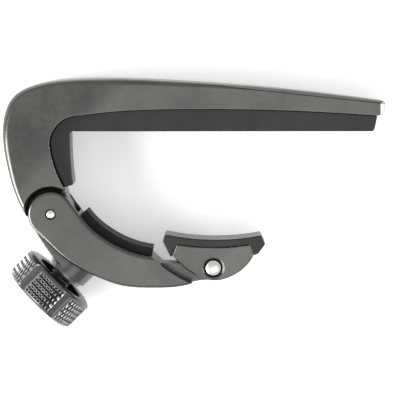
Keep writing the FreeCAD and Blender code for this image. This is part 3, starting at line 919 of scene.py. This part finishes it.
@dataclass
class Knob:
    """The thumb screw's knob: six knurled lobes between smooth grooves.

    Attributes:
        radius: Radius over the knurl's points.
        band: Radius of the smooth rims.
        valley: Radius at the bottom of the knurl.
        length: Length of the knob.
        inner: Where its inner face is on the screw's axis.
        rim: Radius of its rounded rims.
        rim_shape: Section of a rim: share of its height, and share of its depth.
        soft: Size of the small bevels at its hollows.
        margin: Smooth band between each rim and the knurl.
        lead: Length of the step between that band and the knurl.
        lobes: Number of lobes.
        cells: Half pitches of the knurl across each lobe.
        point_length: Half pitch of the knurl along it.
        point_rows: Rows of the mesh to each of those half pitches.
        groove_half: Half of a groove's angle.
        groove_floor: Distance of a groove's floor from the axis.
        groove: The groove's section: share of its half angle, and share of its depth.
        turn: First groove, from +Z towards the hinge.
        recess: Radius and depth of the hollow in its inner face.
        socket: Radius and depth of the hollow in its outer face.
        core: Radius of the hole for the stud.
    """

    radius: float = 8.85 * MM
    band: float = 8.75 * MM
    valley: float = 8.42 * MM
    length: float = 6.8 * MM
    inner: float = -8.95 * MM
    rim: float = 0.7 * MM
    rim_shape: tuple[tuple[float, float], ...] = (
        (0.0, 1.0), (0.06, 0.86), (0.2, 0.66), (0.45, 0.42), (0.72, 0.18), (0.9, 0.05), (1.0, 0.0),
    )
    soft: float = 0.2 * MM
    margin: float = 0.12 * MM
    lead: float = 0.06 * MM
    lobes: int = 6
    cells: int = 16
    point_length: float = 1.13 * MM
    point_rows: int = 4
    groove_half: float = 7.4
    groove_floor: float = 8.25 * MM
    groove: tuple[tuple[float, float], ...] = (
        (-1.0, 0.0), (-0.86, 0.5), (-0.62, 0.95), (0.0, 1.0), (0.62, 0.95), (0.86, 0.5), (1.0, 0.0),
    )
    turn: float = 34.5
    recess: tuple[float, float] = (5.75 * MM, 3.4 * MM)
    socket: tuple[float, float] = (2.9 * MM, 1.0 * MM)
    core: float = 1.98 * MM

    def knurl_span(self) -> tuple[float, float]:
        """Where the knurl starts and ends, from the inner face."""
        start = self.rim + self.margin
        return start, self.length - start

    def rings(self) -> list[tuple[float, float]]:
        """The knob's profile as rings, from the recess's hole to the socket's hole."""
        recess_radius, recess_depth = self.recess
        socket_radius, socket_depth = self.socket
        start, end = self.knurl_span()
        inner_rim = [
            (self.rim * up, self.band - self.rim * back) for up, back in self.rim_shape
        ]
        outer_rim = [(self.length - height, radius) for height, radius in reversed(inner_rim)]
        pitch = (end - start) / self.rows()
        knurl = [(start + pitch * row, self.valley) for row in range(self.rows() + 1)]
        return [
            (recess_depth, self.core),
            (recess_depth, recess_radius - self.soft),
            (recess_depth - self.soft, recess_radius),
            (self.soft, recess_radius),
            (0.0, recess_radius + self.soft),
            *inner_rim,
            (start - self.lead, self.band),
            *knurl,
            (end + self.lead, self.band),
            *outer_rim,
            (self.length, socket_radius + self.soft),
            (self.length - self.soft, socket_radius),
            (self.length - socket_depth, socket_radius),
            (self.length - socket_depth, self.core),
        ]

    def rows(self) -> int:
        """Rows of the mesh along the knurl."""
        start, end = self.knurl_span()
        return round((end - start) / self.point_length * self.point_rows)

    def point_height(self, across: int, along: float) -> float:
        """Height of the diamond knurl, from 0 in its valleys to 1 on its points.

        Args:
            across: Steps across the lobe, two to half a pitch.
            along: Distance along the knob from the middle of the knurl.

        Returns:
            The height.
        """
        side = across / 4
        length = along / (2 * self.point_length)
        away = abs(side - round(side)) + abs(length - round(length))
        return min(1.0, 1.3 * abs(1 - 2 * away))

    def shape_side(self, knob: Piece) -> None:
        """Cuts the grooves, raises the knurl's points and stores where wear and painted highlight
        go.

        Args:
            knob: The plain turned knob.
        """
        start, end = self.knurl_span()
        middle_height = (start + end) / 2
        wear_and_highlight_layer = knob.data.attributes.new("knurl_point_wear_and_highlight", "FLOAT", "POINT")
        steps = self.cells * 2
        bank = len(self.groove) - 1
        sector = steps + bank
        step_angle = (360 / self.lobes - 2 * self.groove_half) / steps
        for point in knob.data.vertices:
            around = math.hypot(point.co.x, point.co.y)
            wear = 0.5
            turn = math.degrees(math.atan2(point.co.y, point.co.x)) % 360
            step = round(turn / 360 * self.lobes * sector)
            lobe, place = divmod(step + bank // 2, sector)
            middle = lobe * 360 / self.lobes
            if place <= bank:
                share, depth = self.groove[place]
                angle = share * self.groove_half
                if 0 < place < bank:
                    limit = self.band - (self.band - self.groove_floor) * depth
                    # One wall of each groove gets a painted highlight.
                    if around > limit and share > 0 and depth < 0.9:
                        wear = 0.95
                    around = min(around, limit)
                elif abs(around - self.valley) < MERGE_DISTANCE:
                    around = self.band
                    # The groove's rims get wear and a painted highlight.
                    wear = 1.0
            else:
                across = place - bank
                angle = self.groove_half + across * step_angle
                if abs(around - self.valley) < MERGE_DISTANCE:
                    wear = self.point_height(across, point.co.z - middle_height)
                    around += (self.radius - self.valley) * wear
            wear_and_highlight_layer.data[point.index].value = wear
            turn = math.radians(middle + angle)
            point.co.x = around * math.cos(turn)
            point.co.y = around * math.sin(turn)

    def build(self, material: bpy.types.Material) -> Piece:
        """Models the knob and puts it on the thumb screw.

        Args:
            material: Its finish.

        Returns:
            The knob.
        """
        sides = self.lobes * (self.cells * 2 + len(self.groove) - 1)
        knob = turn_rings("knurled_knob", self.rings(), sides)
        self.shape_side(knob)
        take(knob)
        bpy.ops.object.mode_set(mode="EDIT")
        bpy.ops.mesh.select_all(action="SELECT")
        bpy.ops.mesh.quads_convert_to_tris(quad_method="SHORTEST_DIAGONAL", ngon_method="BEAUTY")
        bpy.ops.object.mode_set(mode="OBJECT")
        face_outwards(knob)
        knob.matrix_world = screw_place(self.inner, self.turn, outwards=True)
        finish_piece(knob, material, smooth=24.0)
        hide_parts("knob")
        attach(knob, "thumb_screw")
        return knob


@dataclass
class ThreadedStud:
    """The thumb screw's stud with its cut thread.

    Attributes:
        crest: Radius over the thread.
        root: Radius at the thread's root.
        pitch: Rise of one turn.
        foot: How far the ridge starts under the thread's root.
        shoulder: Where the thread starts, on the screw's axis.
        tip: Where the thread ends.
        turns: Whole turns of thread.
        socket: Where the stud's end in the knob is.
        core: Radius of the stud in the knob.
        tap: Radius and length of the screw's hole in that end.
        pivot: Radius and length of the pivot in the foot.
    """

    crest: float = 2.47 * MM
    root: float = 2.02 * MM
    pitch: float = 0.8 * MM
    foot: float = 0.05 * MM
    shoulder: float = -12.35 * MM
    tip: float = -0.85 * MM
    turns: int = 14
    socket: float = -14.55 * MM
    core: float = 1.97 * MM
    tap: tuple[float, float] = (1.0 * MM, 3.2 * MM)
    pivot: tuple[float, float] = (1.1 * MM, 0.95 * MM)

    def rings(self) -> list[tuple[float, float]]:
        """The stud's core as rings, from the bottom of the tapped hole to the pivot's end."""
        tap_radius, tap_length = self.tap
        pivot_radius, pivot_length = self.pivot
        back = self.tip + 0.3 * MM
        return [
            (self.socket + tap_length, 0.02 * MM),
            (self.socket + tap_length, tap_radius),
            (self.socket, tap_radius),
            (self.socket, self.core),
            (self.shoulder, self.core),
            (self.shoulder + 0.05 * MM, self.root),
            (self.tip, self.root),
            (back, self.root - 0.2 * MM),
            (back, pivot_radius),
            (back + pivot_length, pivot_radius),
            (back + pivot_length, 0.02 * MM),
        ]

    def thread(self) -> Piece:
        """The helical ridge, on the Z axis."""
        bpy.ops.object.select_all(action="DESELECT")
        bpy.ops.mesh.primitive_circle_add(vertices=4, radius=self.root, location=(0, 0, 0))
        ridge = bpy.context.active_object
        half = self.pitch / 2
        flat = self.pitch / 16
        inside = self.root - self.foot
        profile = [
            (inside, -half * 0.92),
            (self.crest, -flat),
            (self.crest, flat),
            (inside, half * 0.92),
        ]
        for point, (radius, height) in zip(ridge.data.vertices, profile):
            point.co = Vector((radius, 0, height))
        use_modifier(
            ridge, "SCREW", axis="Z", steps=40, render_steps=40, screw_offset=self.pitch,
            iterations=self.turns, use_smooth_shade=False,
        )
        height = self.turns * self.pitch
        for point in ridge.data.vertices:
            turned = point.co.z / height
            near = min(turned, 1 - turned) * self.turns * 2
            fade = max(0.0, min(1.0, near))
            radius = math.hypot(point.co.x, point.co.y)
            wanted = inside + (radius - inside) * fade
            point.co.x *= wanted / radius
            point.co.y *= wanted / radius
        face_outwards(ridge)
        ridge.location.z = self.shoulder + half
        return ridge

    def build(self, material: bpy.types.Material) -> Piece:
        """Models the stud and puts it on the thumb screw.

        Args:
            material: Its finish.

        Returns:
            The stud.
        """
        stud = turn_rings("threaded_stud", self.rings(), 40)
        face_outwards(stud)
        ridge = self.thread()
        take(stud)
        ridge.select_set(True)
        bpy.ops.object.join()
        stud.matrix_world = screw_place(0.0)
        finish_piece(stud, material)
        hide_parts("adjusting_stud")
        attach(stud, "thumb_screw")
        return stud


@dataclass
class ReturnSpring:
    """The torsion spring in the hinge: a close coil with a leg at each end.

    Attributes:
        coil: Radius of the coil, to the middle of its wire.
        wire: Radius of the wire.
        turns: Turns in the coil.
        hub: Radius of the frame's tongue.
        seat: Where the arm's floor is on the screw's axis.
        clearance: Gap between the tongue and the free leg's end.
        spacing: Rise of one turn, in wire thicknesses.
        fixed: Length of the leg in the frame.
    """

    coil: float = 1.8 * MM
    wire: float = 0.19 * MM
    turns: int = 4
    hub: float = 4.65 * MM
    seat: float = 0.95 * MM
    clearance: float = 1.0 * MM
    spacing: float = 1.02
    fixed: float = 2.4 * MM

    def build(self, material: bpy.types.Material) -> Piece:
        """Models the spring, with its free leg reaching to the arm's floor.

        Args:
            material: Its finish.

        Returns:
            The spring.
        """
        beside = SCREW_OFFSET - self.hub - self.clearance
        contact = on_screw(self.seat) + SCREW_CROSS * beside - HINGE
        spread = math.acos(self.coil / contact.length)
        turn = math.atan2(contact.y, contact.x) - spread
        root = Vector((math.cos(turn), math.sin(turn), 0)) * self.coil
        reach = contact - root
        bpy.ops.object.select_all(action="DESELECT")
        bpy.ops.mesh.primitive_circle_add(
            vertices=12, radius=self.wire, rotation=(math.pi / 2, 0, 0)
        )
        spring = bpy.context.active_object
        spring.name = spring.data.name = "torsion_spring"
        bpy.ops.object.transform_apply(location=True, rotation=True, scale=True)
        for point in spring.data.vertices:
            point.co.x += self.coil
        rise = 2 * self.wire * self.spacing
        use_modifier(
            spring, "SCREW", axis="Z", angle=-2 * math.pi, steps=28, render_steps=28,
            screw_offset=rise, iterations=self.turns, use_smooth_shade=True,
        )
        spring.data.transform(
            Matrix.Translation((0, 0, -rise * self.turns / 2)) @ Matrix.Rotation(turn, 4, "Z")
        )
        self.draw_leg(spring, root, reach.normalized(), reach.length, low=True)
        self.draw_leg(spring, root, -reach.normalized(), self.fixed, low=False)
        face_outwards(spring)
        spring.location = HINGE
        finish_piece(spring, material)
        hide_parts("return_spring")
        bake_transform(spring)
        return spring

    def draw_leg(
        self, spring: Piece, root: Vector, along: Vector, length: float, low: bool
    ) -> None:
        """Draws one leg out of the coil's end.

        Args:
            spring: The spring, with its coil at the origin.
            root: Where the coil ends, from the hinge.
            along: Direction of the leg.
            length: Length of the leg.
            low: Whether the leg is at the coil's low end.
        """
        heights = [point.co.z for point in spring.data.vertices]
        depth = 2.2 * self.wire
        limit = min(heights) + depth if low else max(heights) - depth
        take(spring)
        bpy.ops.object.mode_set(mode="EDIT")

        def at_end(place: Vector) -> bool:
            """Whether a point is on the ring that the leg starts from."""
            away = Vector((place.x, place.y, 0)) - root
            on_ring = abs(away.dot(along)) < MERGE_DISTANCE and away.length < 1.1 * self.wire
            return on_ring and (place.z < limit if low else place.z > limit)

        select_points(spring, at_end)
        bpy.ops.mesh.extrude_region_move(TRANSFORM_OT_translate={"value": tuple(along * length)})
        bpy.ops.mesh.fill()
        bpy.ops.object.mode_set(mode="OBJECT")


@dataclass
class CastParts:
    """The CAD pieces whose shape stays, dressed by slot."""

    def dress(self, nodes: dict[str, Piece], materials: dict[Slot, bpy.types.Material]) -> None:
        """Gives every CAD node the finish of its slot.

        Args:
            nodes: The CAD nodes by name.
            materials: Materials by slot.
        """
        for name, node in nodes.items():
            slot = Slot(node.data.materials[0].name.split(".")[0])
            node.data.materials.clear()
            node.data.materials.append(materials[slot])
            LOG.info("dressed %s in %s", name, materials[slot].name)


# ---- studio ------------------------------------------------------------------------------------


@dataclass
class Lamp:
    """A soft rectangular light.

    Attributes:
        name: Its name.
        place: Where it stands.
        size: Its width and height.
        glow: How bright its face is, where 1 is white.
    """

    name: str
    place: tuple[float, float, float]
    size: tuple[float, float]
    glow: float

    def build(self, target: Vector) -> None:
        """Sets the light up, facing a point.

        Args:
            target: The point it faces.
        """
        light = bpy.data.lights.new(self.name, "AREA")
        light.shape = "RECTANGLE"
        light.size, light.size_y = self.size
        light.energy = self.glow * math.pi * self.size[0] * self.size[1]
        lamp = bpy.data.objects.new(self.name, light)
        bpy.context.scene.collection.objects.link(lamp)
        lamp.location = self.place
        lamp.rotation_euler = (target - lamp.location).to_track_quat("-Z", "Y").to_euler()


@dataclass
class Studio:
    """A pale floor, soft light and the camera.

    Attributes:
        floor_drop: Height of the floor.
        eye: Where the camera is.
        aim: What it looks at.
        lens: Its focal length, in millimetres.
        paint: Colour of the floor.
        lift: Light that the floor adds where it is seen.
        ambient: Strength of the light from all round.
        lamps: The soft lights.
    """

    floor_drop: float = -8.9 * MM
    eye: tuple[float, float, float] = (-0.0048, 0.0237, 0.462)
    aim: tuple[float, float, float] = (-0.0048, -0.015, 0.0)
    lens: float = 194.0
    paint: Colour = (0.86, 0.86, 0.865)
    lift: Colour = (0.36, 0.36, 0.36)
    ambient: float = 0.6
    lamps: tuple[Lamp, ...] = (
        Lamp("top_softbox", (0.1, -0.26, 0.8), (0.7, 0.56), 1.1),
        Lamp("left_softbox", (-0.46, -0.16, 0.26), (0.6, 0.34), 10.0),
        Lamp("right_strip", (0.5, 0.0, 0.15), (0.3, 0.1), 13.0),
    )

    def build_camera(self) -> None:
        """Puts the camera above the capo, looking down on it."""
        camera = bpy.data.cameras.new("camera")
        camera.lens = self.lens
        camera.sensor_width = 36.0
        camera.clip_start = 0.01
        eye = bpy.data.objects.new("camera", camera)
        bpy.context.scene.collection.objects.link(eye)
        eye.location = self.eye
        back = (Vector(self.eye) - Vector(self.aim)).normalized()
        right = Vector((0.0, 1.0, 0.0)).cross(back).normalized()
        eye.rotation_euler = Matrix((right, back.cross(right), back)).transposed().to_euler()
        bpy.context.scene.camera = eye

    def seen_share(self, tree: bpy.types.NodeTree) -> Socket:
        """1 for rays that show a surface itself or in a reflection, 0 for light on others.

        Args:
            tree: The node tree to add to.

        Returns:
            The value.
        """
        path = tree.nodes.new("ShaderNodeLightPath")
        share = path.outputs["Is Camera Ray"]
        for name in ("Is Glossy Ray", "Is Transmission Ray"):
            node = tree.nodes.new("ShaderNodeMath")
            node.operation = "MAXIMUM"
            tree.links.new(share, node.inputs[0])
            tree.links.new(path.outputs[name], node.inputs[1])
            share = node.outputs[0]
        return share

    def build_floor(self) -> None:
        """Lays a white floor that keeps the capo's soft shadow."""
        bpy.ops.object.select_all(action="DESELECT")
        bpy.ops.mesh.primitive_plane_add(size=6.0, location=(0, 0, self.floor_drop))
        floor = bpy.context.active_object
        floor.name = "floor"
        bpy.ops.object.transform_apply(location=True, rotation=True, scale=True)
        material = bpy.data.materials.new("white_floor")
        material.use_nodes = True
        tree = material.node_tree
        tree.nodes.clear()
        paint = tree.nodes.new("ShaderNodeBsdfDiffuse")
        paint.inputs["Color"].default_value = (*self.paint, 1)
        lift = tree.nodes.new("ShaderNodeEmission")
        tree.links.new(self.seen_share(tree), lift.inputs["Strength"])
        lift.inputs["Color"].default_value = (*self.lift, 1)
        both = tree.nodes.new("ShaderNodeAddShader")
        tree.links.new(paint.outputs[0], both.inputs[0])
        tree.links.new(lift.outputs[0], both.inputs[1])
        output = tree.nodes.new("ShaderNodeOutputMaterial")
        tree.links.new(both.outputs[0], output.inputs["Surface"])
        floor.data.materials.append(material)

    def build_world(self) -> None:
        """Fills the room with soft light, white where it is seen."""
        world = bpy.data.worlds.new("room")
        bpy.context.scene.world = world
        world.use_nodes = True
        tree = world.node_tree
        tree.nodes.clear()
        share = self.seen_share(tree)
        mix = tree.nodes.new("ShaderNodeMapRange")
        mix.inputs["To Min"].default_value = self.ambient
        mix.inputs["To Max"].default_value = 1.0
        tree.links.new(share, mix.inputs["Value"])
        background = tree.nodes.new("ShaderNodeBackground")
        tree.links.new(mix.outputs[0], background.inputs["Strength"])
        output = tree.nodes.new("ShaderNodeOutputWorld")
        tree.links.new(background.outputs[0], output.inputs["Surface"])

    def build(self) -> None:
        """Sets up the camera, floor, world and lamps."""
        bpy.context.scene.view_settings.view_transform = "Standard"
        self.build_camera()
        self.build_floor()
        self.build_world()
        for lamp in self.lamps:
            lamp.build(Vector(self.aim))


def main() -> None:
    """Builds and dresses the capo, then its studio."""
    logging.basicConfig(level=logging.INFO, format="%(message)s")
    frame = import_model()
    finishes = Finishes()
    materials = finishes.materials()
    Studio().build()
    CastParts().dress(frame["nodes"], materials)
    rubber = materials[Slot.RUBBER]
    strip = finishes.strip.material()
    pads = (
        (RubberPad("string_pad", "string_cushion", "yoke"), rubber),
        (RubberPad("arm_pad", "arm_strip", "arm", edge=0.14 * MM, groove=0.12 * MM), strip),
        (RubberPad("toggle_pad", "saddle_cap", "saddle", edge=0.28 * MM), rubber),
    )
    for pad, finish in pads:
        LOG.info("built %s", pad.build(finish).name)
    LOG.info("built %s", Knob().build(materials[Slot.KNURLED]).name)
    LOG.info("built %s", ThreadedStud().build(finishes.thread.material()).name)
    LOG.info("built %s", ReturnSpring().build(materials[Slot.SPRING]).name)


if __name__ == "__main__":
    main()
